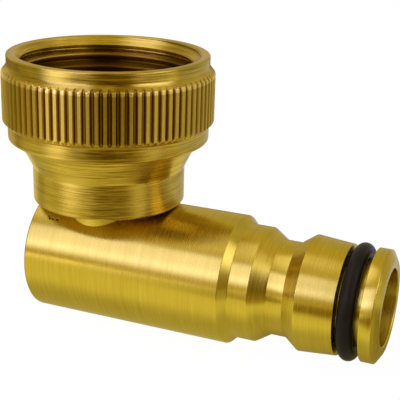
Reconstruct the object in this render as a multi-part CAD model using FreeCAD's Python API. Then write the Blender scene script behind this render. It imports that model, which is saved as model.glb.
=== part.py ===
import FreeCAD, Part
import math
import os

from FreeCAD import Placement, Rotation, Vector

# Brass elbow for a garden tap. A knurled swivel nut screws on the tap, a hollow stem carries the turned
# cross bar below it, and the bar ends in a plug that clicks into a hose coupling.
# Millimetres. Z is the nut's axis, and z = 0 is the inner end of its thread. The plug points along +X.

# Tap thread and mouth of the nut
thread_radius = 12.06           # crests of a G 3/4 inside thread, which this wall stands for
thread_length = 7.0
mouth_ledge = 1.24              # from the crests out to the edge of the mouth
mouth_cone_height = 1.5

# Outside of the nut, from its mouth down
rim_wall = 1.2                  # at the mouth
rim_height = 1.5
rim_edge = 0.2
cove_height = 1.05
cove_hollow = 0.07              # how far the cove's arc dips behind its chord
knurl_rise = 0.8                # crests beyond the rim
knurl_count = 84
knurl_depth = 0.45
knurl_land = 0.45               # flat crest left between two grooves
knurl_floor = 0.22              # flat at the bottom of a groove
band_step = 0.75                # crests beyond the band
band_height = 2.18
band_edge = 0.4
flare_step = 1.3                # band beyond the top of the flare
flare_height = 4.07
flare_hollow = 0.08
neck_radius = 11.15
neck_height = 5.15
neck_edge = 0.3

# Seat of the flat washer on the nut's floor
washer_thickness = 2.0
washer_width = 3.8
washer_headroom = 0.3
washer_play = 0.5
relief_ledge = 1.24             # from the crests out to the relief behind the thread
floor_thickness = 1.53

# Hollow stem that the nut turns on
stem_radius = 6.5
stem_wall = 2.0
stem_tip_edge = 0.4
head_ledge = 1.9                # head beyond the stem
head_height = 2.2
head_edge = 0.3
head_side_play = 0.3
head_top_play = 0.1
head_lift = 0.1
turning_play = 0.06             # stem in the neck of the nut
key_sides = 6
key_ledge = 0.5                 # flats of the key's socket beyond the bore
key_depth = 3.0

# Rings that seal the stem in the nut
seal_height = 1.33              # squeezed between groove and neck
seal_width = 1.66
seal_groove_width = 2.0
seal_play = 0.03
seal_seat = 0.02
first_land = 1.1
middle_land = 1.0

# Cross bar
neck_gap = 0.12                 # between the nut's neck and the top of the bar
bar_radius = 9.4
bar_end_reach = 9.4             # closed end, from the nut's axis
bar_end_edge = 0.3
bar_reach = 21.2                # shoulder of the plug, from the nut's axis
bar_bore_radius = 4.75
bar_bore_reach = 2.6            # full bore runs on this far past the nut's axis
drill_half_angle = 59.0
stem_seat_height = 4.2          # above the bar's axis
stem_thread_play = 0.03

# Plug, from the bar's shoulder to the nose
shoulder_cone_length = 1.1
collar_radius = 8.3
collar_length = 2.9
catch_cone_length = 2.2
catch_radius = 6.85
catch_length = 2.4
barrel_cone_length = 2.05
barrel_radius = 8.35
barrel_length = 5.3
barrel_tip_radius = 7.9
nose_radius = 8.0
nose_length = 1.7
nose_cone_length = 0.75
nose_chamfer = 1.3              # across the cone, from the nose in to its face
nose_bore_radius = 5.5
nose_bore_length = 13.1

# Ring on the plug
ring_floor_wall = 0.53          # between the nose's bore and the floor of the ring's groove
ring_seat = 0.02
ring_section = 2.3
ring_setback = 0.4              # from the barrel's end
ring_room = 0.85                # from the ring on to the nose

# Radii that follow
mouth_radius = thread_radius + mouth_ledge
rim_radius = mouth_radius + rim_wall
knurl_radius = rim_radius + knurl_rise
band_radius = knurl_radius - band_step
flare_radius = band_radius - flare_step
relief_radius = thread_radius + relief_ledge
stem_bore_radius = stem_radius - stem_wall
head_radius = stem_radius + head_ledge
neck_bore_radius = stem_radius + turning_play
pocket_radius = head_radius + head_side_play
ring_floor_radius = nose_bore_radius + ring_floor_wall
ring_middle_radius = ring_floor_radius + ring_seat + ring_section / 2

# Heights that follow
mouth_z = thread_length + mouth_cone_height
rim_foot_z = mouth_z - rim_height
knurl_top_z = rim_foot_z - cove_height
floor_z = -washer_headroom - washer_thickness
band_bottom_z = floor_z - floor_thickness
band_top_z = band_bottom_z + band_height
knurl_bottom_z = band_top_z + knurl_radius - band_radius
crease_z = band_bottom_z - flare_height
neck_bottom_z = crease_z - neck_height
head_top_z = floor_z - head_top_play
head_bottom_z = head_top_z - head_height
shoulder_z = head_bottom_z - head_lift
bar_z = neck_bottom_z - neck_gap - bar_radius
stem_bottom_z = bar_z + stem_seat_height
cut_margin = 1.0                # cutting tools stand this far clear of what they cut


def turned(start, *steps):
    # A solid of revolution about Z. Each step is the next corner (r, z), or an arc as (middle, end).
    edges = []
    here = Vector(start[0], 0, start[1])
    for step in steps + (start,):
        if isinstance(step[0], tuple):
            middle, there = (Vector(r, 0, z) for r, z in step)
            edges.append(Part.Arc(here, middle, there).toShape())
        else:
            there = Vector(step[0], 0, step[1])
            edges.append(Part.LineSegment(here, there).toShape())
        here = there
    face = Part.Face(Part.Wire(edges))
    return face.revolve(Vector(0, 0, 0), Vector(0, 0, 1), 360)


def quarter(corner_r, corner_z, size):
    # The rounded outer lower edge of a turned piece: an arc from its side to its underside.
    centre_r = corner_r - size
    centre_z = corner_z + size
    reach = size * math.sin(math.radians(45))
    return (centre_r + reach, centre_z - reach), (centre_r, corner_z)


def knurl_cutter():
    # One groove along the nut, which runs out through the cone below and the cove above.
    pitch_angle = math.radians(360 / knurl_count)
    half_width = knurl_radius * math.sin(pitch_angle / 2) - knurl_land / 2
    root = knurl_radius - knurl_depth
    half_floor = knurl_floor / 2
    flank = (half_width - half_floor) / knurl_depth
    outer = knurl_radius + cut_margin
    side = half_width + cut_margin * flank
    corners = [(root, half_floor), (outer, side), (outer, -side), (root, -half_floor), (root, half_floor)]
    face = Part.Face(Part.makePolygon([Vector(x, y, 0) for x, y in corners]))
    face.translate(Vector(0, 0, band_top_z))
    return face.extrude(Vector(0, 0, rim_foot_z - band_top_z))


def hollow_arc(start_r, start_z, end_r, end_z, hollow):
    # An arc between two corners of the profile, which dips towards the axis at its middle.
    return ((start_r + end_r) / 2 - hollow, (start_z + end_z) / 2), (end_r, end_z)


def swivel_nut():
    nut = turned(
        (thread_radius, 0),
        (thread_radius, thread_length),
        (mouth_radius, mouth_z),
        (rim_radius - rim_edge, mouth_z),
        (rim_radius, mouth_z - rim_edge),
        (rim_radius, rim_foot_z),
        hollow_arc(rim_radius, rim_foot_z, knurl_radius, knurl_top_z, cove_hollow),
        (knurl_radius, knurl_bottom_z),
        (band_radius, band_top_z),
        (band_radius, band_bottom_z + band_edge),
        quarter(band_radius, band_bottom_z, band_edge),
        (flare_radius, band_bottom_z),
        hollow_arc(flare_radius, band_bottom_z, neck_radius, crease_z, flare_hollow),
        (neck_radius, neck_bottom_z + neck_edge),
        quarter(neck_radius, neck_bottom_z, neck_edge),
        (neck_bore_radius, neck_bottom_z),
        (neck_bore_radius, shoulder_z),
        (pocket_radius, shoulder_z),
        (pocket_radius, floor_z),
        (relief_radius, floor_z),
        (relief_radius, 0),
    )
    groove = knurl_cutter()
    pitch_degrees = 360 / knurl_count
    grooves = []
    for number in range(knurl_count):
        turn = Rotation(Vector(0, 0, 1), (number + 0.5) * pitch_degrees)
        grooves.append(groove.transformed(Placement(Vector(0, 0, 0), turn).toMatrix()))
    return nut.cut(Part.makeCompound(grooves))


def tap_washer():
    outer = relief_radius - washer_play
    inner = outer - washer_width
    ring = Part.makeCylinder(outer, washer_thickness, Vector(0, 0, floor_z))
    return ring.cut(Part.makeCylinder(inner, washer_thickness, Vector(0, 0, floor_z)))


def seal_groove_top(number):
    return shoulder_z - first_land - number * (seal_groove_width + middle_land)


def hollow_stem():
    groove_radius = neck_bore_radius - seal_play - seal_height - seal_seat
    glands = []
    for number in (1, 0):
        top = seal_groove_top(number)
        bottom = top - seal_groove_width
        glands += [(stem_radius, bottom), (groove_radius, bottom), (groove_radius, top), (stem_radius, top)]
    stem = turned(
        (stem_bore_radius, stem_bottom_z),
        (stem_radius - stem_tip_edge, stem_bottom_z),
        (stem_radius, stem_bottom_z + stem_tip_edge),
        *glands,
        (stem_radius, head_bottom_z),
        (head_radius, head_bottom_z),
        (head_radius, head_top_z - head_edge),
        (head_radius - head_edge, head_top_z),
        (stem_bore_radius, head_top_z),
    )
    # Six-sided socket for the key that screws the stem into the bar
    corner_radius = (stem_bore_radius + key_ledge) / math.cos(math.pi / key_sides)
    corners = []
    for number in range(key_sides + 1):
        angle = 2 * math.pi * number / key_sides
        corners.append(Vector(corner_radius * math.cos(angle), corner_radius * math.sin(angle), head_top_z))
    socket = Part.Face(Part.makePolygon(corners)).extrude(Vector(0, 0, -key_depth))
    return stem.cut(socket)


def stem_seal(number):
    # A ring whose round section is squeezed to an oval in its groove.
    middle_r = neck_bore_radius - seal_play - seal_height / 2
    middle_z = seal_groove_top(number) - seal_groove_width / 2
    oval = Part.Ellipse(Vector(0, 0, 0), seal_width / 2, seal_height / 2).toShape()
    face = Part.Face(Part.Wire([oval]))
    face.rotate(Vector(0, 0, 0), Vector(1, 0, 0), 90)
    face.rotate(Vector(0, 0, 0), Vector(0, 1, 0), 90)
    face.translate(Vector(middle_r, 0, middle_z))
    return face.revolve(Vector(0, 0, 0), Vector(0, 0, 1), 360)


def plug_outline():
    # Corners (r, distance along the bar) of the plug's outside, each length added to the one before.
    ring_groove_width = ring_setback + ring_section + ring_room
    lengths_and_radii = [
        (shoulder_cone_length, collar_radius),
        (collar_length, collar_radius),
        (catch_cone_length, catch_radius),
        (catch_length, catch_radius),
        (barrel_cone_length, barrel_radius),
        (barrel_length, barrel_tip_radius),
        (0, ring_floor_radius),
        (ring_groove_width, ring_floor_radius),
        (0, nose_radius),
        (nose_length, nose_radius),
        (nose_cone_length, nose_radius - nose_chamfer),
    ]
    along = bar_reach
    corners = []
    for length, radius in lengths_and_radii:
        along += length
        corners.append((radius, along))
    return corners


def lay_along_x(shape):
    # From the lathe's axis to the bar's: the nose then points along +X.
    turn = Rotation(Vector(0, 1, 0), 90)
    return shape.transformed(Placement(Vector(0, 0, bar_z), turn).toMatrix())


def elbow_body():
    outline = plug_outline()
    nose_x = outline[-1][1]
    drill_tip = bar_bore_reach + bar_bore_radius / math.tan(math.radians(drill_half_angle))
    bar = lay_along_x(turned(
        (0, -bar_end_reach),
        (bar_radius - bar_end_edge, -bar_end_reach),
        (bar_radius, -bar_end_reach + bar_end_edge),
        (bar_radius, bar_reach),
        *outline,
        (nose_bore_radius, nose_x),
        (nose_bore_radius, nose_x - nose_bore_length),
        (bar_bore_radius, nose_x - nose_bore_length),
        (bar_bore_radius, -bar_bore_reach),
        (0, -drill_tip),
    ))
    socket_radius = stem_radius + stem_thread_play
    socket_depth = bar_radius + cut_margin - stem_seat_height
    socket = Part.makeCylinder(socket_radius, socket_depth, Vector(0, 0, stem_bottom_z))
    passage = Part.makeCylinder(stem_bore_radius, stem_seat_height, Vector(0, 0, bar_z))
    return bar.cut(socket.fuse(passage))


def plug_ring():
    nose_x = plug_outline()[-1][1]
    groove_end = nose_x - nose_cone_length - nose_length
    middle_x = groove_end - ring_room - ring_section / 2
    return Part.makeTorus(ring_middle_radius, ring_section / 2, Vector(middle_x, 0, bar_z), Vector(1, 0, 0))


pieces = {
    "swivel_nut": swivel_nut(),
    "tap_washer": tap_washer(),
    "hollow_stem": hollow_stem(),
    "upper_stem_seal": stem_seal(0),
    "lower_stem_seal": stem_seal(1),
    "elbow_body": elbow_body(),
    "plug_ring": plug_ring(),
}

os.makedirs("parts", exist_ok=True)
for name, shape in pieces.items():
    shape.exportStep(f"parts/{name}.step")
    box = shape.optimalBoundingBox()
    print(f"{name}: {len(shape.Solids)} solid, {shape.Volume:.1f} mm3, valid {shape.isValid()},",
          f"x {box.XMin:.2f} to {box.XMax:.2f}, y {box.YMin:.2f} to {box.YMax:.2f},",
          f"z {box.ZMin:.2f} to {box.ZMax:.2f}")
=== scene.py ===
import math

import bmesh
import bpy
from mathutils import Matrix, Vector


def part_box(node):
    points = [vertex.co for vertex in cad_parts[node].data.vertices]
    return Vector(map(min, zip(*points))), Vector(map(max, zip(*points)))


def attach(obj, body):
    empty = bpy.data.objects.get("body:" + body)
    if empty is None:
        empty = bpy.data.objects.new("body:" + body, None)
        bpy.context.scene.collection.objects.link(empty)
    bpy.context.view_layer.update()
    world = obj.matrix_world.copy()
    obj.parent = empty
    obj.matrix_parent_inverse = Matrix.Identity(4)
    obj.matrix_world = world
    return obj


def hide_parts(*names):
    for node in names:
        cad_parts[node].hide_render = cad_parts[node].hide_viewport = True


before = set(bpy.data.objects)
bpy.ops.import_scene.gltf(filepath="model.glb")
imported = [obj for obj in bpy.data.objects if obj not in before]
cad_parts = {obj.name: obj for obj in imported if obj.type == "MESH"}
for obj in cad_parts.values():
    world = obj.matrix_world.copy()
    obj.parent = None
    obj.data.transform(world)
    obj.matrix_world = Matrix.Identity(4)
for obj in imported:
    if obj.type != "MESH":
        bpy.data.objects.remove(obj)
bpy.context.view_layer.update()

mm = 0.001          # metres in a millimetre
nutLow, nutHigh = (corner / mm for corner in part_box("swivel_nut"))
bodyLow, bodyHigh = (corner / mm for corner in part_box("elbow_body"))
stemLow, stemHigh = (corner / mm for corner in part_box("hollow_stem"))
washerLow, washerHigh = (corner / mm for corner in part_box("tap_washer"))
ringLow, ringHigh = (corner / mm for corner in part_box("plug_ring"))
barZ = (bodyLow.z + bodyHigh.z) / 2          # height of the bar's axis
mergeGap = 0.0005       # millimetres between points that become one
planeGap = 0.00001      # millimetres within which a point lies on a cutting plane
touchGap = 0.0001       # millimetres within which an edge belongs to a surface
white = (1, 1, 1, 1)
print("frame loaded, the bar's axis is at", round(barZ, 3), "mm")


# Shaping helpers. All sizes are in millimetres until a mesh is made.
def drawSection(bm, corners, closed, roundSegments):
    # corners are (radius, height, rounding), and rounding 0 keeps a corner sharp
    wire = [bm.verts.new((radius, 0, height)) for radius, height, rounding in corners]
    pairs = list(zip(wire, wire[1:]))
    if closed:
        pairs.append((wire[-1], wire[0]))
    for first, second in pairs:
        bm.edges.new((first, second))
    for size in sorted({corner[2] for corner in corners if corner[2]}):
        picked = [vert for vert, corner in zip(wire, corners) if corner[2] == size]
        bmesh.ops.bevel(bm, geom=picked, offset=size, offset_type='OFFSET', affect='VERTICES',
                        segments=roundSegments, profile=0.5, material=-1)


def turnProfile(bm, corners, steps, sweep=2 * math.pi, closed=True, roundSegments=3):
    # turns a section about Z, all the way round unless a smaller sweep is given
    drawSection(bm, corners, closed, roundSegments)
    bmesh.ops.spin(bm, geom=bm.verts[:] + bm.edges[:], cent=(0, 0, 0), axis=(0, 0, 1), angle=sweep,
                   steps=steps, use_merge=sweep == 2 * math.pi, use_duplicate=False)
    bmesh.ops.remove_doubles(bm, verts=bm.verts, dist=mergeGap)


def layAlongX(bm):
    # the lathe's axis becomes the bar's, with the nose towards +X
    quarterTurn = Matrix.Rotation(math.pi / 2, 3, 'Y')
    bmesh.ops.rotate(bm, verts=bm.verts, cent=(0, 0, 0), matrix=quarterTurn)
    bmesh.ops.translate(bm, verts=bm.verts, vec=(0, 0, barZ))


def toMesh(bm, name):
    bmesh.ops.recalc_face_normals(bm, faces=bm.faces)
    bmesh.ops.scale(bm, vec=(mm, mm, mm), verts=bm.verts)
    mesh = bpy.data.meshes.new(name)
    bm.to_mesh(mesh)
    bm.free()
    return mesh


def addPiece(name, bm):
    piece = bpy.data.objects.new(name, toMesh(bm, name))
    bpy.context.scene.collection.objects.link(piece)
    return piece


def cutAway(piece, cutterBm):
    # takes the cutter's shape out of the piece and leaves one closed mesh
    cutter = addPiece("cutter", cutterBm)
    step = piece.modifiers.new("cut", 'BOOLEAN')
    step.operation = 'DIFFERENCE'
    step.solver = 'EXACT'
    step.object = cutter
    evaluated = piece.evaluated_get(bpy.context.evaluated_depsgraph_get())
    result = bpy.data.meshes.new_from_object(evaluated)
    piece.modifiers.clear()
    piece.data = result
    bpy.data.objects.remove(cutter)


def finishPiece(piece, material, body, nodes, sharpAngle=35):
    bm = bmesh.new()
    bm.from_mesh(piece.data)
    bmesh.ops.remove_doubles(bm, verts=bm.verts, dist=touchGap * mm)
    for face in bm.faces:
        face.smooth = True
    limit = math.radians(sharpAngle)
    for edge in bm.edges:
        edge.smooth = edge.calc_face_angle(0) < limit
    bm.to_mesh(piece.data)
    bm.free()
    piece.data.materials.clear()
    piece.data.materials.append(material)
    shading = piece.modifiers.new("flat faces stay flat", 'WEIGHTED_NORMAL')
    shading.keep_sharp = True
    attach(piece, body)
    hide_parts(*nodes)
    print(piece.name, "has", len(piece.data.polygons), "faces")
    return piece


# Materials
def nodeTree(name):
    material = bpy.data.materials.new(name)
    material.use_nodes = True
    material.node_tree.nodes.clear()
    return material, material.node_tree


def addNode(tree, kind, inputs=None, **settings):
    # inputs are numbers, or the output socket that feeds them
    node = tree.nodes.new(kind)
    for key, value in settings.items():
        setattr(node, key, value)
    for key, value in (inputs or {}).items():
        if isinstance(value, bpy.types.NodeSocket):
            tree.links.new(value, node.inputs[key])
        else:
            node.inputs[key].default_value = value
    return node


def maths(tree, first, second, operation):
    return addNode(tree, 'ShaderNodeMath', {0: first, 1: second}, operation=operation).outputs[0]


def added(tree, first, second):
    return maths(tree, first, second, 'ADD')


def times(tree, first, second):
    return maths(tree, first, second, 'MULTIPLY')


def ramped(tree, value, start, stop, low=0.0, high=1.0):
    # eases from low to high while the value goes from start to stop
    return addNode(tree, 'ShaderNodeMapRange', {
        'Value': value, 'From Min': start, 'From Max': stop, 'To Min': low, 'To Max': high},
        interpolation_type='SMOOTHSTEP').outputs[0]


def between(tree, value, low, high, soft):
    # 1 inside the range and 0 outside it, with soft ends
    return times(tree, ramped(tree, value, low - soft, low + soft),
                 ramped(tree, value, high - soft, high + soft, 1.0, 0.0))


def crossOf(tree, first, second):
    return addNode(tree, 'ShaderNodeVectorMath', {0: first, 1: second},
                   operation='CROSS_PRODUCT').outputs[0]


def inMetres(sizes):
    return [size * mm for size in sizes]


def tinted(tree, factor, first, second, blendType='MIX'):
    return addNode(tree, 'ShaderNodeMix', {'Factor': factor, 6: first, 7: second},
                   data_type='RGBA', blend_type=blendType).outputs[2]


def lathePlace(tree, axis):
    # where a point lies on a turned piece, in metres
    spot = addNode(tree, 'ShaderNodeTexCoord').outputs['Object']
    if axis == 'X':
        spot = addNode(tree, 'ShaderNodeMapping', {
            'Vector': spot, 'Location': (0, 0, -barZ * mm)}).outputs[0]
    x, y, z = addNode(tree, 'ShaderNodeSeparateXYZ', {0: spot}).outputs[:3]
    along, across, up = (x, y, z) if axis == 'X' else (z, x, y)
    flat = addNode(tree, 'ShaderNodeCombineXYZ', {0: across, 1: up}).outputs[0]
    radius = addNode(tree, 'ShaderNodeVectorMath', {0: flat}, operation='LENGTH').outputs['Value']
    # path grows all along the outline, on cylinders, cones and flat ends alike
    return {'spot': spot, 'along': along, 'across': across, 'up': up, 'radius': radius,
            'path': added(tree, along, radius)}


def turningLines(tree, place, lengthwise, crosswise, detail=2.0, roughness=0.6):
    # a noise drawn out round the axis, as a turning or brushing mark is
    scaled = addNode(tree, 'ShaderNodeCombineXYZ', {
        0: times(tree, place['across'], 1 / (lengthwise * mm)),
        1: times(tree, place['up'], 1 / (lengthwise * mm)),
        2: times(tree, place['path'], 1 / (crosswise * mm))}).outputs[0]
    return addNode(tree, 'ShaderNodeTexNoise', {
        'Vector': scaled, 'Scale': 1.0, 'Detail': detail, 'Roughness': roughness}).outputs[0]


def grainNoise(tree, place, size, detail=2.0):
    return addNode(tree, 'ShaderNodeTexNoise', {
        'Vector': place['spot'], 'Scale': 1 / (size * mm), 'Detail': detail}).outputs[0]


def spread(tree, value, low, high, fromLow=0.3, fromHigh=0.7):
    # stretches the middle of a noise over the range that is wanted
    return addNode(tree, 'ShaderNodeMapRange', {
        'Value': value, 'From Min': fromLow, 'From Max': fromHigh,
        'To Min': low, 'To Max': high}).outputs[0]


def meridian(tree, axis, spot):
    # the direction along the profile, across the turning marks, in which they blur a reflection
    line = (1, 0, 0) if axis == 'X' else (0, 0, 1)
    turned = addNode(tree, 'ShaderNodeVectorTransform', {0: crossOf(tree, line, spot)},
                     vector_type='VECTOR', convert_from='OBJECT', convert_to='WORLD').outputs[0]
    normal = addNode(tree, 'ShaderNodeNewGeometry').outputs['Normal']
    across = crossOf(tree, turned, normal)
    return addNode(tree, 'ShaderNodeVectorMath', {0: across}, operation='NORMALIZE').outputs[0]


def knurlGrooves(tree, place, look):
    # 1 at the bottom of the knurl's grooves and 0 on its crests and on the rest of the nut; it places
    # the painted shade in the grooves
    rows = between(tree, place['along'], *inMetres(look['knurlRows']))
    deep = ramped(tree, place['radius'], *inMetres(look['grooveRadii']), 1.0, 0.0)
    return rows, times(tree, rows, deep)


def pitMarks(tree, place, look):
    # small casting pits, each a place in the piece and a radius, as one mask
    marks = 0.0
    for x, y, z, size in look['pits']:
        gap = addNode(tree, 'ShaderNodeVectorMath', {0: place['spot'], 1: (x * mm, y * mm, z * mm)},
                      operation='DISTANCE').outputs['Value']
        dot = ramped(tree, gap, size * mm * look['pitCore'], size * mm, 1.0, 0.0)
        marks = maths(tree, marks, dot, 'MAXIMUM')
    return marks


def headingOf(tree, x, y):
    # degrees from the front, -Y, towards +X
    angle = maths(tree, x, times(tree, y, -1.0), 'ARCTAN2')
    return times(tree, angle, 180 / math.pi)


def insideMask(tree, place, look):
    # 1 on the walls of the bore that are seen from outside, which carry painted shade in the nut and
    # painted light in the plug
    deep = ramped(tree, place['radius'], *inMetres(look['insideRadii']), 1.0, 0.0)
    rows = between(tree, place['along'], *inMetres(look['insideRows']))
    return times(tree, deep, rows)


def scratches(tree, place, look):
    # short dark scratches round the axis, on the side that faces the front; they are real marks and also
    # painted shade on that side
    lines = turningLines(tree, place, look['scratchLength'], look['scratchWidth'])
    heading = headingOf(tree, place['across'], place['up'])
    return times(tree, spread(tree, lines, 0, 1, *look['scratchRange']),
                 between(tree, heading, *look['scratchHeadings']))


def brushedBrass(name, look):
    material, tree = nodeTree(name)
    place = lathePlace(tree, look['axis'])
    fine = turningLines(tree, place, look['lineLength'], look['lineWidth'])
    broad = turningLines(tree, place, look['bandLength'], look['bandWidth'])
    cloud = grainNoise(tree, place, look['cloudSize'], detail=3.0)
    grain = grainNoise(tree, place, look['grainSize'])
    tone = added(tree, spread(tree, fine, -look['fineTone'], look['fineTone']),
                 spread(tree, broad, -look['bandTone'], look['bandTone']))
    tone = added(tree, tone, spread(tree, cloud, -look['cloudTone'], look['cloudTone']))
    if 'knurlRows' in look:
        rows, deep = knurlGrooves(tree, place, look)
        calm = maths(tree, 1.0, times(tree, rows, look['knurlCalm']), 'SUBTRACT')
        tone = times(tree, tone, calm)
        tone = added(tree, tone, times(tree, rows, look['knurlTone']))
    tone = added(tree, tone, 0.5)       # no mark at all lies halfway from dark to light
    colour = tinted(tree, tone, look['dark'], look['light'])
    height = added(tree, times(tree, fine, look['lineDepth']),
                   times(tree, grain, look['grainDepth']))
    gloss = added(tree, spread(tree, fine, -look['fineGloss'], look['fineGloss']),
                  spread(tree, cloud, look['roughLow'], look['roughHigh']))
    if 'knurlRows' in look:
        # painted highlight where the crests end under the cove
        tipHighlightMask = between(tree, place['along'], *inMetres(look['tipHighlightRows']))
        colour = tinted(tree, tipHighlightMask, colour, look['tipHighlight'])
        # painted shade in the bottoms of the knurl's grooves, multiplied into the colour
        colour = tinted(tree, deep, colour, look['grooveShadeTint'], 'MULTIPLY')
        height = times(tree, height, calm)
        gloss = added(tree, gloss, times(tree, rows, look['knurlRough']))
    # painted shade multiplied into the nut's bore, and painted light that brightens the plug's bore
    if 'insidePaintedLight' in look:
        colour = tinted(tree, insideMask(tree, place, look), colour, look['insidePaintedLight'], 'MULTIPLY')
    # dark scratches, partly real marks and partly painted shade on the front-facing side
    if 'scratchShadeTint' in look:
        marks = times(tree, scratches(tree, place, look), calm)
        colour = tinted(tree, marks, colour, look['scratchShadeTint'], 'MULTIPLY')
    if 'pits' in look:
        pits = pitMarks(tree, place, look)
        colour = tinted(tree, pits, colour, look['pitColour'])
        height = maths(tree, height, times(tree, pits, look['pitDepth']), 'SUBTRACT')
    bump = addNode(tree, 'ShaderNodeBump', {'Strength': look['bump'], 'Distance': mm, 'Height': height})
    shader = addNode(tree, 'ShaderNodeBsdfPrincipled', {
        'Base Color': colour, 'Roughness': gloss, 'Normal': bump.outputs[0], 'Metallic': 1.0,
        'Specular Tint': look['edgeTint'],
        'Anisotropic': look['anisotropy'], 'Tangent': meridian(tree, look['axis'], place['spot'])})
    addNode(tree, 'ShaderNodeOutputMaterial', {'Surface': shader.outputs[0]})
    return material


def rubber(name, look):
    material, tree = nodeTree(name)
    place = {'spot': addNode(tree, 'ShaderNodeTexCoord').outputs['Object']}
    grain = grainNoise(tree, place, look['grainSize'])
    bloom = grainNoise(tree, place, look['bloomSize'], detail=3.0)
    colour = tinted(tree, spread(tree, bloom, 0, 1), look['dark'], look['light'])
    bump = addNode(tree, 'ShaderNodeBump', {
        'Strength': look['bump'], 'Distance': look['grainDepth'] * mm, 'Height': grain})
    shader = addNode(tree, 'ShaderNodeBsdfPrincipled', {
        'Base Color': colour, 'Roughness': spread(tree, bloom, look['roughLow'], look['roughHigh']),
        'Specular IOR Level': look['shine'], 'Specular Tint': look['shineTint'],
        'Normal': bump.outputs[0]})
    addNode(tree, 'ShaderNodeOutputMaterial', {'Surface': shader.outputs[0]})
    return material


# Lengths and radii are in millimetres. Rows are a first and a last height along the axis and how soft
# their ends are. Tones say how far each kind of mark moves the colour between dark and light.
nutLook = {
    'axis': 'Z', 'dark': (0.3, 0.19, 0.012, 1), 'light': (0.8, 0.56, 0.09, 1),
    'edgeTint': (0.97, 0.9, 0.7, 1),
    'lineLength': 9.0, 'lineWidth': 0.16, 'lineDepth': 0.01, 'bandLength': 14.0, 'bandWidth': 0.6,
    'cloudSize': 5.0, 'grainSize': 0.12, 'grainDepth': 0.002,
    'fineTone': 0.3, 'bandTone': 0.2, 'cloudTone': 0.12,
    'roughLow': 0.22, 'roughHigh': 0.32, 'fineGloss': 0.06, 'bump': 1.0, 'anisotropy': 0.88,
    'knurlRows': (-0.9, 6.0, 0.15), 'grooveRadii': (14.9, 15.27), 'grooveShadeTint': (0.42, 0.31, 0.11, 1),
    'knurlCalm': 0.85, 'knurlTone': 0.04, 'knurlRough': 0.15,       # the knurl is rolled, not brushed
    'tipHighlightRows': (5.55, 6.1, 0.15), 'tipHighlight': (0.9, 0.68, 0.18, 1),        # painted highlight on the tops of the crests
    'insideRows': (-3.0, 6.9, 0.1), 'insideRadii': (13.35, 13.45), 'insidePaintedLight': (0.83, 0.74, 0.55, 1),
    'scratchLength': 5.0, 'scratchWidth': 0.2, 'scratchRange': (0.44, 0.6),
    'scratchHeadings': (8, 42, 14), 'scratchShadeTint': (0.48, 0.4, 0.2, 1)}
bodyLook = {
    'axis': 'X', 'dark': (0.48, 0.33, 0.025, 1), 'light': (0.72, 0.52, 0.08, 1),
    'edgeTint': (0.97, 0.9, 0.7, 1),
    'lineLength': 6.0, 'lineWidth': 0.12, 'lineDepth': 0.003, 'bandLength': 12.0, 'bandWidth': 0.5,
    'cloudSize': 8.0, 'grainSize': 0.1, 'grainDepth': 0.003,
    'fineTone': 0.18, 'bandTone': 0.12, 'cloudTone': 0.1,
    'roughLow': 0.22, 'roughHigh': 0.3, 'fineGloss': 0.04, 'bump': 1.0, 'anisotropy': 0.85,
    'insideRows': (28.0, 43.3, 0.1), 'insideRadii': (5.55, 5.6), 'insidePaintedLight': (1.3, 1.35, 1.3, 1),
    'pits': [(-6.7, -6.17, 7.09, 0.2), (-6.45, -6.41, 6.87, 0.25),      # each a place and a radius
             (-5.95, -6.44, 6.85, 0.22), (-5.2, -6.41, 6.87, 0.25)],
    'pitCore': 0.4, 'pitColour': (0.06, 0.035, 0.004, 1), 'pitDepth': 0.08}
stemLook = {key: value for key, value in bodyLook.items() if not key.startswith(('pit', 'inside'))}
stemLook['axis'] = 'Z'
ringLook = {
    'dark': (0.006, 0.004, 0.003, 1), 'light': (0.013, 0.01, 0.008, 1),
    'grainSize': 0.25, 'grainDepth': 0.01, 'bloomSize': 4.0, 'roughLow': 0.3, 'roughHigh': 0.4,
    'bump': 0.2, 'shine': 0.08, 'shineTint': (1.0, 0.88, 0.42, 1)}
washerLook = dict(ringLook, dark=(0.02, 0.02, 0.02, 1), light=(0.045, 0.043, 0.04, 1),
                  roughLow=0.5, roughHigh=0.65)

nutBrass = brushedBrass("brushedNutBrass", nutLook)
bodyBrass = brushedBrass("brushedBodyBrass", bodyLook)
stemBrass = brushedBrass("turnedStemBrass", stemLook)
ringRubber = rubber("blackRingRubber", ringLook)
washerRubber = rubber("washerRubber", washerLook)
print("materials ready")


# Swivel nut: rim, cove, knurl, band, flare and neck round the thread.
# Here and in the plug and the stem, the bare name of a turned part is its radius, and an edge or
# a rounding is how far the bevel reaches from its corner.
nut = {
    'threadCrest': 12.06, 'threadLength': 7.0, 'mouth': 13.3, 'edge': 0.1,
    'rim': 14.5, 'rimHeight': 1.5, 'rimEdge': 0.2,
    'coveHeight': 1.05, 'coveHollow': 0.12, 'coveRounding': 0.55,
    'knurl': 15.3, 'knurlCount': 84, 'knurlDepth': 0.45, 'knurlLand': 0.45, 'knurlFloor': 0.22,
    'knurlEdge': 0.05, 'knurlEnd': 0.06, 'band': 14.55, 'bandHeight': 2.18, 'bandEdge': 0.4,
    'flare': 13.25, 'flareHeight': 4.07, 'flareHollow': 0.16, 'flareRounding': 2.1,
    'neck': 11.15, 'neckHeight': 5.15, 'neckEdge': 0.3, 'neckBore': 6.56,
    'relief': 13.3, 'pocket': 8.7, 'pocketDepth': 2.3, 'columnsPerHalfPitch': 2}
thread = {
    'pitch': 1.814, 'root': 13.22, 'flankAngle': 27.5, 'rootFlat': 0.15, 'rootHalf': 0.14,
    'rootRounding': 0.1, 'crestRounding': 0.05, 'crestStep': 0.12, 'stepRounding': 0.08,
    'stepHalf': 0.04, 'seam': 0.02, 'overlap': 0.08, 'startHeight': -1.2, 'turns': 7,
    'stepsPerTurn': 120}


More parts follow.
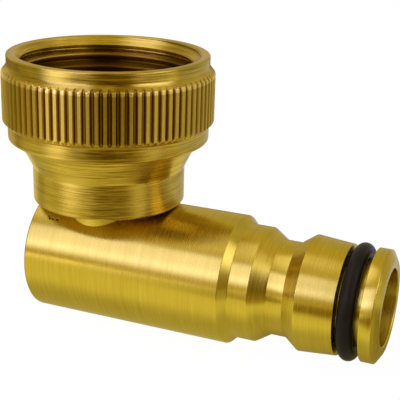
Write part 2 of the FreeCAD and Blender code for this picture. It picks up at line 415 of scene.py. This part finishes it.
def nutProfile():
    top = nutHigh.z
    rimFoot = top - nut['rimHeight']
    knurlTop = rimFoot - nut['coveHeight']
    neckBottom = nutLow.z
    crease = neckBottom + nut['neckHeight']
    bandBottom = crease + nut['flareHeight']
    bandTop = bandBottom + nut['bandHeight']
    knurlBottom = bandTop + nut['knurl'] - nut['band']
    stemShoulder = stemHigh.z - nut['pocketDepth']
    edge = nut['edge']
    return [
        (nut['threadCrest'], 0, 0),
        (nut['threadCrest'], nut['threadLength'], 0),
        (nut['mouth'], top, edge),
        (nut['rim'], top, nut['rimEdge']),
        (nut['rim'], rimFoot, edge),
        ((nut['rim'] + nut['knurl']) / 2 - nut['coveHollow'], (rimFoot + knurlTop) / 2,
         nut['coveRounding']),
        (nut['knurl'], knurlTop, nut['knurlEnd']),
        (nut['knurl'], knurlBottom, nut['knurlEnd']),
        (nut['band'], bandTop, 0),
        (nut['band'], bandBottom, nut['bandEdge']),
        (nut['flare'], bandBottom, 0),
        ((nut['flare'] + nut['neck']) / 2 - nut['flareHollow'], (bandBottom + crease) / 2,
         nut['flareRounding']),
        (nut['neck'], crease, edge),
        (nut['neck'], neckBottom, nut['neckEdge']),
        (nut['neckBore'], neckBottom, edge),
        (nut['neckBore'], stemShoulder, 0),
        (nut['pocket'], stemShoulder, 0),
        (nut['pocket'], washerLow.z, 0),
        (nut['relief'], washerLow.z, 0),
        (nut['relief'], 0, 0)]


def cutFlank(bm, halfPitch):
    # planes one side of a groove out of half a tooth's sector: its floor and one sloping flank
    root = nut['knurl'] - nut['knurlDepth']
    foot = Vector((root, nut['knurlFloor'] / 2, 0))
    landAngle = halfPitch - nut['knurlLand'] / 2 / nut['knurl']
    crest = Vector((nut['knurl'] * math.cos(landAngle), nut['knurl'] * math.sin(landAngle), 0))
    away = Vector(((crest - foot).y, -(crest - foot).x, 0)).normalized()
    bmesh.ops.bisect_plane(bm, geom=bm.verts[:] + bm.edges[:] + bm.faces[:], dist=planeGap,
                           plane_co=foot, plane_no=(1, 0, 0))
    proud = [face for face in bm.faces if face.calc_center_median().x > root]
    proudEdges = {edge for face in proud for edge in face.edges}
    proudVerts = {vert for face in proud for vert in face.verts}
    bmesh.ops.bisect_plane(bm, geom=proud + list(proudEdges | proudVerts), dist=planeGap,
                           plane_co=foot, plane_no=away)
    scrap = [face for face in bm.faces
             if face.calc_center_median().x > root and (face.calc_center_median() - foot).dot(away) > 0]
    rim = [edge for edge in {edge for face in scrap for edge in face.edges}
           if len([face for face in edge.link_faces if face in scrap]) == 1
           and not all(abs(vert.co.y) < planeGap for vert in edge.verts)]
    bmesh.ops.delete(bm, geom=scrap, context='FACES_ONLY')
    floorRim = [edge for edge in rim if all(abs(vert.co.x - root) < touchGap for vert in edge.verts)]
    flankRim = [edge for edge in rim if edge not in floorRim]
    flankVerts = {vert for edge in flankRim for vert in edge.verts}
    floorVerts = {vert for edge in floorRim for vert in edge.verts}
    flankEnds = [vert for vert in flankVerts if abs(vert.co.x - root) < touchGap]
    middleEnds = [vert for vert in floorVerts if abs(vert.co.y) < planeGap]
    foldLine = bm.edges.new(flankEnds)
    middleLine = bm.edges.new(middleEnds)
    bmesh.ops.contextual_create(bm, geom=floorRim + [foldLine, middleLine])
    bmesh.ops.contextual_create(bm, geom=flankRim + [foldLine])
    loose = [edge for edge in bm.edges if not edge.link_faces]
    bmesh.ops.delete(bm, geom=loose, context='EDGES')
    return flankRim


def makeNut():
    # half of one knurl tooth's sector is turned and its flank is cut, then it is mirrored and repeated
    bm = bmesh.new()
    count = nut['knurlCount']
    halfPitch = math.pi / count
    turnProfile(bm, nutProfile(), nut['columnsPerHalfPitch'], sweep=halfPitch, roundSegments=4)
    flankRim = cutFlank(bm, halfPitch)
    bmesh.ops.bevel(bm, geom=flankRim, offset=nut['knurlEdge'], offset_type='OFFSET', affect='EDGES',
                    segments=2, profile=0.5, material=-1, clamp_overlap=True)
    bmesh.ops.mirror(bm, geom=bm.verts[:] + bm.edges[:] + bm.faces[:], merge_dist=mergeGap, axis='Y')
    bmesh.ops.spin(bm, geom=bm.verts[:] + bm.edges[:] + bm.faces[:], cent=(0, 0, 0), axis=(0, 0, 1),
                   angle=2 * math.pi * (count - 1) / count, steps=count - 1, use_duplicate=True)
    bmesh.ops.remove_doubles(bm, verts=bm.verts, dist=mergeGap)
    grooveToFront = Matrix.Rotation(halfPitch, 3, 'Z')
    bmesh.ops.rotate(bm, verts=bm.verts, cent=(0, 0, 0), matrix=grooveToFront)
    piece = addPiece("swivelNut", bm)
    cutAway(piece, threadCutter())
    return finishPiece(piece, nutBrass, "nut", ["swivel_nut"])


def threadCutter():
    # the thread's groove as a solid: its section climbs one pitch each turn, past both ends of the bore
    bm = bmesh.new()
    crest, root = nut['threadCrest'], thread['root']
    crestHalf = thread['pitch'] / 2 - thread['seam']
    flankHalf = thread['rootFlat'] + (root - crest) * math.tan(math.radians(thread['flankAngle']))
    inner = crest - thread['overlap']
    lowerHalf = [(inner, crestHalf, 0), (crest, crestHalf - thread['seam'], thread['crestRounding']),
                 (crest + thread['crestStep'], flankHalf - thread['stepHalf'], thread['stepRounding']),
                 (root, thread['rootHalf'], thread['rootRounding'])]
    section = [(radius, -height, rounding) for radius, height, rounding in lowerHalf] + lowerHalf[::-1]
    drawSection(bm, section, closed=True, roundSegments=2)
    bmesh.ops.translate(bm, verts=bm.verts, vec=(0, 0, thread['startHeight']))
    bmesh.ops.spin(bm, geom=bm.verts[:] + bm.edges[:], cent=(0, 0, 0), axis=(0, 0, 1),
                   angle=2 * math.pi * thread['turns'],
                   dvec=(0, 0, thread['pitch'] / thread['stepsPerTurn']),
                   steps=thread['turns'] * thread['stepsPerTurn'], use_duplicate=False)
    bmesh.ops.holes_fill(bm, edges=bm.edges, sides=0)
    return bm


makeNut()


# Cross bar with the plug
plug = {
    'barEndReach': 9.4, 'barEndEdge': 0.3, 'bar': 9.4, 'barReach': 21.2,
    'shoulderConeLength': 1.1, 'collar': 8.3, 'collarLength': 2.9,
    'catchConeLength': 2.2, 'catch': 6.85, 'catchLength': 2.4,
    'barrelConeLength': 2.05, 'barrel': 8.35, 'barrelLength': 5.3, 'barrelTip': 7.9,
    'ringFloor': 6.03, 'ringGrooveLength': 3.55,
    'nose': 8.0, 'noseLength': 1.7, 'noseConeLength': 0.75, 'noseFace': 6.7,
    'noseBore': 5.5, 'noseBoreLength': 13.1, 'boreEdge': 0.12,
    'barBore': 4.75, 'boreStepEdge': 0.2, 'barBoreReach': 2.6, 'drillHalfAngle': 59,
    'edge': 0.08, 'steps': 256,
    'stemSocket': 6.53, 'stemWay': 4.5, 'socketSteps': 96, 'clear': 1.0}


def plugProfile():
    edge = plug['edge']
    stretches = [       # each a length, the radius at its end and the rounding there
        (plug['shoulderConeLength'], 'collar', edge), (plug['collarLength'], 'collar', edge),
        (plug['catchConeLength'], 'catch', edge), (plug['catchLength'], 'catch', edge),
        (plug['barrelConeLength'], 'barrel', edge), (plug['barrelLength'], 'barrelTip', edge),
        (0, 'ringFloor', edge), (plug['ringGrooveLength'], 'ringFloor', edge), (0, 'nose', edge),
        (plug['noseLength'], 'nose', edge), (plug['noseConeLength'], 'noseFace', edge),
        (0, 'noseBore', plug['boreEdge'])]
    along = plug['barReach']
    corners = [(0, -plug['barEndReach'], 0), (plug['bar'], -plug['barEndReach'], plug['barEndEdge']),
               (plug['bar'], along, edge)]
    for length, part, rounding in stretches:
        along += length
        corners.append((plug[part], along, rounding))
    drillTip = plug['barBoreReach'] + plug['barBore'] / math.tan(math.radians(plug['drillHalfAngle']))
    return corners + [
        (plug['noseBore'], along - plug['noseBoreLength'], 0),
        (plug['barBore'], along - plug['noseBoreLength'], plug['boreStepEdge']),
        (plug['barBore'], -plug['barBoreReach'], 0),
        (0, -drillTip, 0)]


def makeBody():
    bm = bmesh.new()
    turnProfile(bm, plugProfile(), plug['steps'], closed=False)
    layAlongX(bm)
    piece = addPiece("elbowBody", bm)
    socket = bmesh.new()        # the stem's seat, and the way down into the bore
    way, wall, above = plug['stemWay'], plug['stemSocket'], bodyHigh.z + plug['clear']
    turnProfile(socket, [(0, barZ, 0), (way, barZ, 0), (way, stemLow.z, 0), (wall, stemLow.z, 0),
                         (wall, above, 0), (0, above, 0)], plug['socketSteps'], closed=False)
    cutAway(piece, socket)
    return finishPiece(piece, bodyBrass, "elbow", ["elbow_body"])


makeBody()


# Hollow stem with its key socket, and the flat washer
stem = {'radius': 6.5, 'bore': 4.5, 'head': 8.4, 'headHeight': 2.2, 'headEdge': 0.3, 'tipEdge': 0.4,
        'grooveFloor': 5.18, 'grooveHeight': 2.0, 'firstLandHeight': 1.2, 'middleLandHeight': 1.0,
        'edge': 0.06, 'keyAcross': 10.0, 'keyDepth': 3.0, 'keyClear': 1.0, 'steps': 192}
washer = {'inner': 9.0, 'edge': 0.25, 'steps': 160}


def makeStem():
    bm = bmesh.new()
    top = stemHigh.z
    underHead = top - stem['headHeight']
    firstTop = underHead - stem['firstLandHeight']
    firstBottom = firstTop - stem['grooveHeight']
    secondTop = firstBottom - stem['middleLandHeight']
    secondBottom = secondTop - stem['grooveHeight']
    outer, floor, edge = stem['radius'], stem['grooveFloor'], stem['edge']
    turnProfile(bm, [
        (stem['bore'], stemLow.z, edge), (outer, stemLow.z, stem['tipEdge']),
        (outer, secondBottom, edge), (floor, secondBottom, 0),
        (floor, secondTop, 0), (outer, secondTop, edge),
        (outer, firstBottom, edge), (floor, firstBottom, 0),
        (floor, firstTop, 0), (outer, firstTop, edge),
        (outer, underHead, 0), (stem['head'], underHead, edge), (stem['head'], top, stem['headEdge']),
        (stem['bore'], top, edge)], stem['steps'])
    piece = addPiece("hollowStem", bm)
    key = bmesh.new()
    corner = stem['keyAcross'] / math.sqrt(3)
    bmesh.ops.create_circle(key, cap_ends=True, segments=6, radius=corner,
                            matrix=Matrix.Translation((0, 0, top - stem['keyDepth'])))
    lifted = bmesh.ops.extrude_face_region(key, geom=key.faces[:])
    raised = [item for item in lifted['geom'] if isinstance(item, bmesh.types.BMVert)]
    bmesh.ops.translate(key, verts=raised, vec=(0, 0, stem['keyDepth'] + stem['keyClear']))
    cutAway(piece, key)
    return finishPiece(piece, stemBrass, "elbow", ["hollow_stem"])


def makeWasher():
    bm = bmesh.new()
    outer, inner, edge = washerHigh.x, washer['inner'], washer['edge']
    turnProfile(bm, [(inner, washerLow.z, edge), (outer, washerLow.z, edge), (outer, washerHigh.z, edge),
                     (inner, washerHigh.z, edge)], washer['steps'])
    return finishPiece(addPiece("tapWasher", bm), washerRubber, "nut", ["tap_washer"])


makeStem()
makeWasher()


# Rubber ring on the plug, and the two hidden seals
ring = {'sectionSteps': 40, 'steps': 200}


def makeRing():
    bm = bmesh.new()
    section = (ringHigh.x - ringLow.x) / 2
    middle = (ringHigh.z - ringLow.z) / 2 - section
    place = Matrix.Translation((middle, 0, (ringLow.x + ringHigh.x) / 2))
    across = place @ Matrix.Rotation(math.pi / 2, 4, 'X')
    bmesh.ops.create_circle(bm, segments=ring['sectionSteps'], radius=section, matrix=across)
    bmesh.ops.spin(bm, geom=bm.verts[:] + bm.edges[:], cent=(0, 0, 0), axis=(0, 0, 1), angle=2 * math.pi,
                   steps=ring['steps'], use_merge=True, use_duplicate=False)
    layAlongX(bm)
    return finishPiece(addPiece("plugRing", bm), ringRubber, "elbow", ["plug_ring"])


makeRing()
for sealName in ("upper_stem_seal", "lower_stem_seal"):
    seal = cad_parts[sealName]
    seal.data.materials.clear()
    seal.data.materials.append(ringRubber)


# Studio: the floor, the room that the metal mirrors, two lamps and the camera.
# Angles are in degrees, headings count from the front, -Y, towards +X. Three numbers are a first and
# a last angle and how soft both ends are, two are where a change starts and ends.
studio = {
    'floorSize': 4.0, 'floorColour': (0.95, 0.95, 0.95, 1), 'floorWhite': 0.985, 'ambient': 0.5,
    'keyPower': 3.5, 'keySize': 0.35, 'keyDistance': 0.6, 'keyHeading': -32, 'keyHeight': 45,
    'fillPower': 1.5, 'fillSize': 0.5, 'fillDistance': 0.8, 'fillHeading': 150, 'fillHeight': 70,
    'aim': (12, 0, -12)}
room = {
    'front': (0.42, 0.36, 0.12, 1), 'behind': (0.62, 0.58, 0.45, 1), 'behindFrom': (-0.1, 0.4),
    'overhead': (0.72, 0.62, 0.22, 1), 'overheadFrom': (35, 60),
    'dark': (0.16, 0.11, 0.02, 1), 'darkHeadings': (14, 50, 10), 'darkHeights': (38, 54),
    'sill': (0.74, 0.66, 0.25, 1), 'sillHeadings': (-50, 8, 6), 'sillHeights': (10, 30),
    'window': (1.92, 2.0, 5.2, 1), 'windowHeadings': (-50, 2, 5), 'windowHeights': (9, 50, 4),
    'windowCentre': -29, 'windowTilt': -0.3,
    'strip': (0.45, 0.55, 2.2, 1), 'stripHeights': (15, 24, 3),
    'sideWall': (0.54, 0.46, 0.15, 1), 'sideWallHeadings': (56, 120, 10), 'sideWallHeights': (28, 44),
    'topWindow': (1.6, 1.6, 2.4, 1), 'topWindowHeadings': (-130, -40, 15),
    'topWindowHeights': (52, 82, 6),
    'sideWindow': (2.6, 2.7, 4.6, 1), 'sideWindowHeadings': (60, 106, 7),
    'sideWindowHeights': (18, 43, 9)}
pool = {
    'near': (1.02, 1.0, 0.6, 1), 'far': (0.28, 0.23, 0.07, 1), 'reach': (50, 180),
    'glow': (2.2, 2.1, 2.8, 1), 'glowHeadings': (-40, -16, 10),
    'sideGlow': (1.0, 1.0, 0.8, 1), 'sideHeadings': (84, 112, 8),
    'rear': (0.62, 0.64, 0.8, 1), 'rearFrom': (104, 112), 'rearReach': (44, 50),
    'shade': (0.55, 0.48, 0.17, 1), 'shadeHeadings': (84, 125, 8),
    'dark': (0.3, 0.205, 0.03, 1), 'darkHeadings': (4, 62, 12), 'darkReach': (42, 56),
    'contactShadow': 0.62, 'shadowReach': (9, 18)}


def direction(heading, height):
    turn, tilt = math.radians(heading), math.radians(height)
    return Vector((math.sin(turn) * math.cos(tilt), -math.cos(turn) * math.cos(tilt), math.sin(tilt)))


def makeFloor():
    # white for the camera, with a faint shadow, and for the metal a painted pool of light that fades
    # with distance, with painted bright glows, painted dark patches and a painted shadow along the bar
    bm = bmesh.new()
    bmesh.ops.create_grid(bm, x_segments=1, y_segments=1, size=studio['floorSize'] / 2 / mm)
    bmesh.ops.translate(bm, verts=bm.verts, vec=(0, 0, bodyLow.z))
    floor = addPiece("studioFloor", bm)
    material, tree = nodeTree("paleFloor")
    rays = addNode(tree, 'ShaderNodeLightPath').outputs
    spot = addNode(tree, 'ShaderNodeTexCoord').outputs['Object']
    x, y = addNode(tree, 'ShaderNodeSeparateXYZ', {0: spot}).outputs[:2]
    flat = addNode(tree, 'ShaderNodeCombineXYZ', {0: x, 1: y}).outputs[0]
    reach = addNode(tree, 'ShaderNodeVectorMath', {0: flat}, operation='LENGTH').outputs['Value']
    heading = headingOf(tree, x, y)
    away = ramped(tree, reach, *inMetres(pool['reach']))
    far = tinted(tree, between(tree, heading, *pool['glowHeadings']), pool['far'], pool['glow'])
    far = tinted(tree, between(tree, heading, *pool['sideHeadings']), far, pool['sideGlow'])
    # painted shade on the near floor at the right
    near = tinted(tree, between(tree, heading, *pool['shadeHeadings']), pool['near'], pool['shade'])
    lit = tinted(tree, away, near, far)
    rear = times(tree, ramped(tree, heading, *pool['rearFrom']),
                 ramped(tree, reach, *inMetres(pool['rearReach'])))
    lit = tinted(tree, rear, lit, pool['rear'])
    # painted dark patch of floor in front
    front = times(tree, between(tree, heading, *pool['darkHeadings']),
                  ramped(tree, reach, *inMetres(pool['darkReach'])))
    lit = tinted(tree, front, lit, pool['dark'])
    # painted shadow along the bar on the floor that the metal mirrors
    shade = ramped(tree, maths(tree, y, 0.0, 'ABSOLUTE'), *inMetres(pool['shadowReach']),
                   pool['contactShadow'], 1.0)
    mirrored = addNode(tree, 'ShaderNodeEmission', {'Color': lit, 'Strength': shade})
    matt = addNode(tree, 'ShaderNodeBsdfDiffuse', {'Color': studio['floorColour']})
    plainWhite = addNode(tree, 'ShaderNodeEmission', {'Color': white, 'Strength': 1.0})
    seen = times(tree, maths(tree, rays['Is Camera Ray'], rays['Is Transmission Ray'], 'MAXIMUM'),
                 studio['floorWhite'])
    plain = addNode(tree, 'ShaderNodeMixShader', {0: seen, 1: matt.outputs[0], 2: plainWhite.outputs[0]})
    both = addNode(tree, 'ShaderNodeMixShader', {0: rays['Is Glossy Ray'], 1: plain.outputs[0],
                                                 2: mirrored.outputs[0]})
    addNode(tree, 'ShaderNodeOutputMaterial', {'Surface': both.outputs[0]})
    floor.data.materials.append(material)


def lowPatch(tree, heading, height, part):
    # 1 on a part of the room that reaches down to the floor
    return times(tree, between(tree, heading, *room[part + 'Headings']),
                 ramped(tree, height, *room[part + 'Heights'], 1.0, 0.0))


def framedPatch(tree, heading, height, part):
    # 1 on a part of the room that ends on all four sides
    return times(tree, between(tree, heading, *room[part + 'Headings']),
                 between(tree, height, *room[part + 'Heights']))


def makeWorld():
    # white for the camera, an even grey for soft light, and for the metal a room: dull walls, a dark
    # doorway in front, a front window with its sill and a bright strip, a top and a side window
    world = bpy.data.worlds.new("studioAir")
    world.use_nodes = True
    tree = world.node_tree
    tree.nodes.clear()
    rays = addNode(tree, 'ShaderNodeLightPath').outputs
    x, y, z = addNode(tree, 'ShaderNodeSeparateXYZ',
                      {0: addNode(tree, 'ShaderNodeTexCoord').outputs['Generated']}).outputs[:3]
    heading = headingOf(tree, x, y)
    height = times(tree, maths(tree, z, 0.0, 'ARCSINE'), 180 / math.pi)
    walls = tinted(tree, ramped(tree, y, *room['behindFrom']), room['front'], room['behind'])
    walls = tinted(tree, ramped(tree, height, *room['overheadFrom']), walls, room['overhead'])
    for part in ('dark', 'sill', 'sideWall'):
        walls = tinted(tree, lowPatch(tree, heading, height, part), walls, room[part])
    offCentre = maths(tree, heading, room['windowCentre'], 'SUBTRACT')
    tilted = added(tree, height, times(tree, offCentre, room['windowTilt']))
    window = framedPatch(tree, heading, tilted, 'window')
    walls = tinted(tree, window, walls, room['window'])
    strip = times(tree, window, between(tree, tilted, *room['stripHeights']))
    walls = tinted(tree, strip, walls, room['strip'], 'ADD')
    for part in ('topWindow', 'sideWindow'):
        walls = tinted(tree, framedPatch(tree, heading, height, part), walls, room[part])
    soft = (studio['ambient'],) * 3 + (1,)
    seen = maths(tree, rays['Is Camera Ray'], rays['Is Transmission Ray'], 'MAXIMUM')
    air = tinted(tree, rays['Is Glossy Ray'], soft, walls)
    air = tinted(tree, seen, air, white)
    light = addNode(tree, 'ShaderNodeBackground', {'Color': air, 'Strength': 1.0})
    addNode(tree, 'ShaderNodeOutputWorld', {'Surface': light.outputs[0]})
    bpy.context.scene.world = world


def addLamp(name, part):
    # a softbox for the matt pieces and the shadow, which the metal doesn't mirror
    lamp = bpy.data.lights.new(name, 'AREA')
    lamp.shape = 'SQUARE'
    lamp.size = studio[part + 'Size']
    lamp.energy = studio[part + 'Power']
    heading = direction(studio[part + 'Heading'], studio[part + 'Height'])
    holder = bpy.data.objects.new(name, lamp)
    holder.location = Vector(studio['aim']) * mm + heading * studio[part + 'Distance']
    holder.rotation_euler = (-heading).to_track_quat('-Z', 'Y').to_euler()
    holder.visible_glossy = False
    bpy.context.scene.collection.objects.link(holder)


# fitted to the turned edges in the photograph
view = {'location': (64.132, -122.340, 34.873), 'azimuth': 22.015, 'elevation': 19.353, 'roll': 1.724,
        'lens': 87.473, 'sensor': 36.0, 'clipStart': 5.0}


def makeCamera():
    back = direction(view['azimuth'], view['elevation'])
    turn = math.radians(view['azimuth'])
    right = Vector((math.cos(turn), math.sin(turn), 0))
    up = back.cross(right)
    roll = math.radians(view['roll'])
    tiltedRight = right * math.cos(roll) + up * math.sin(roll)
    tiltedUp = up * math.cos(roll) - right * math.sin(roll)
    camera = bpy.data.cameras.new("photoView")
    camera.lens = view['lens']
    camera.sensor_width = view['sensor']
    camera.clip_start = view['clipStart'] * mm
    holder = bpy.data.objects.new("photoView", camera)
    facing = Matrix((tiltedRight, tiltedUp, back)).transposed().to_4x4()
    holder.matrix_world = Matrix.Translation(Vector(view['location']) * mm) @ facing
    bpy.context.scene.collection.objects.link(holder)
    bpy.context.scene.camera = holder


makeFloor()
makeWorld()
addLamp("keySoftbox", 'key')
addLamp("fillSoftbox", 'fill')
makeCamera()
bpy.context.scene.view_settings.view_transform = 'Standard'
print("studio ready")
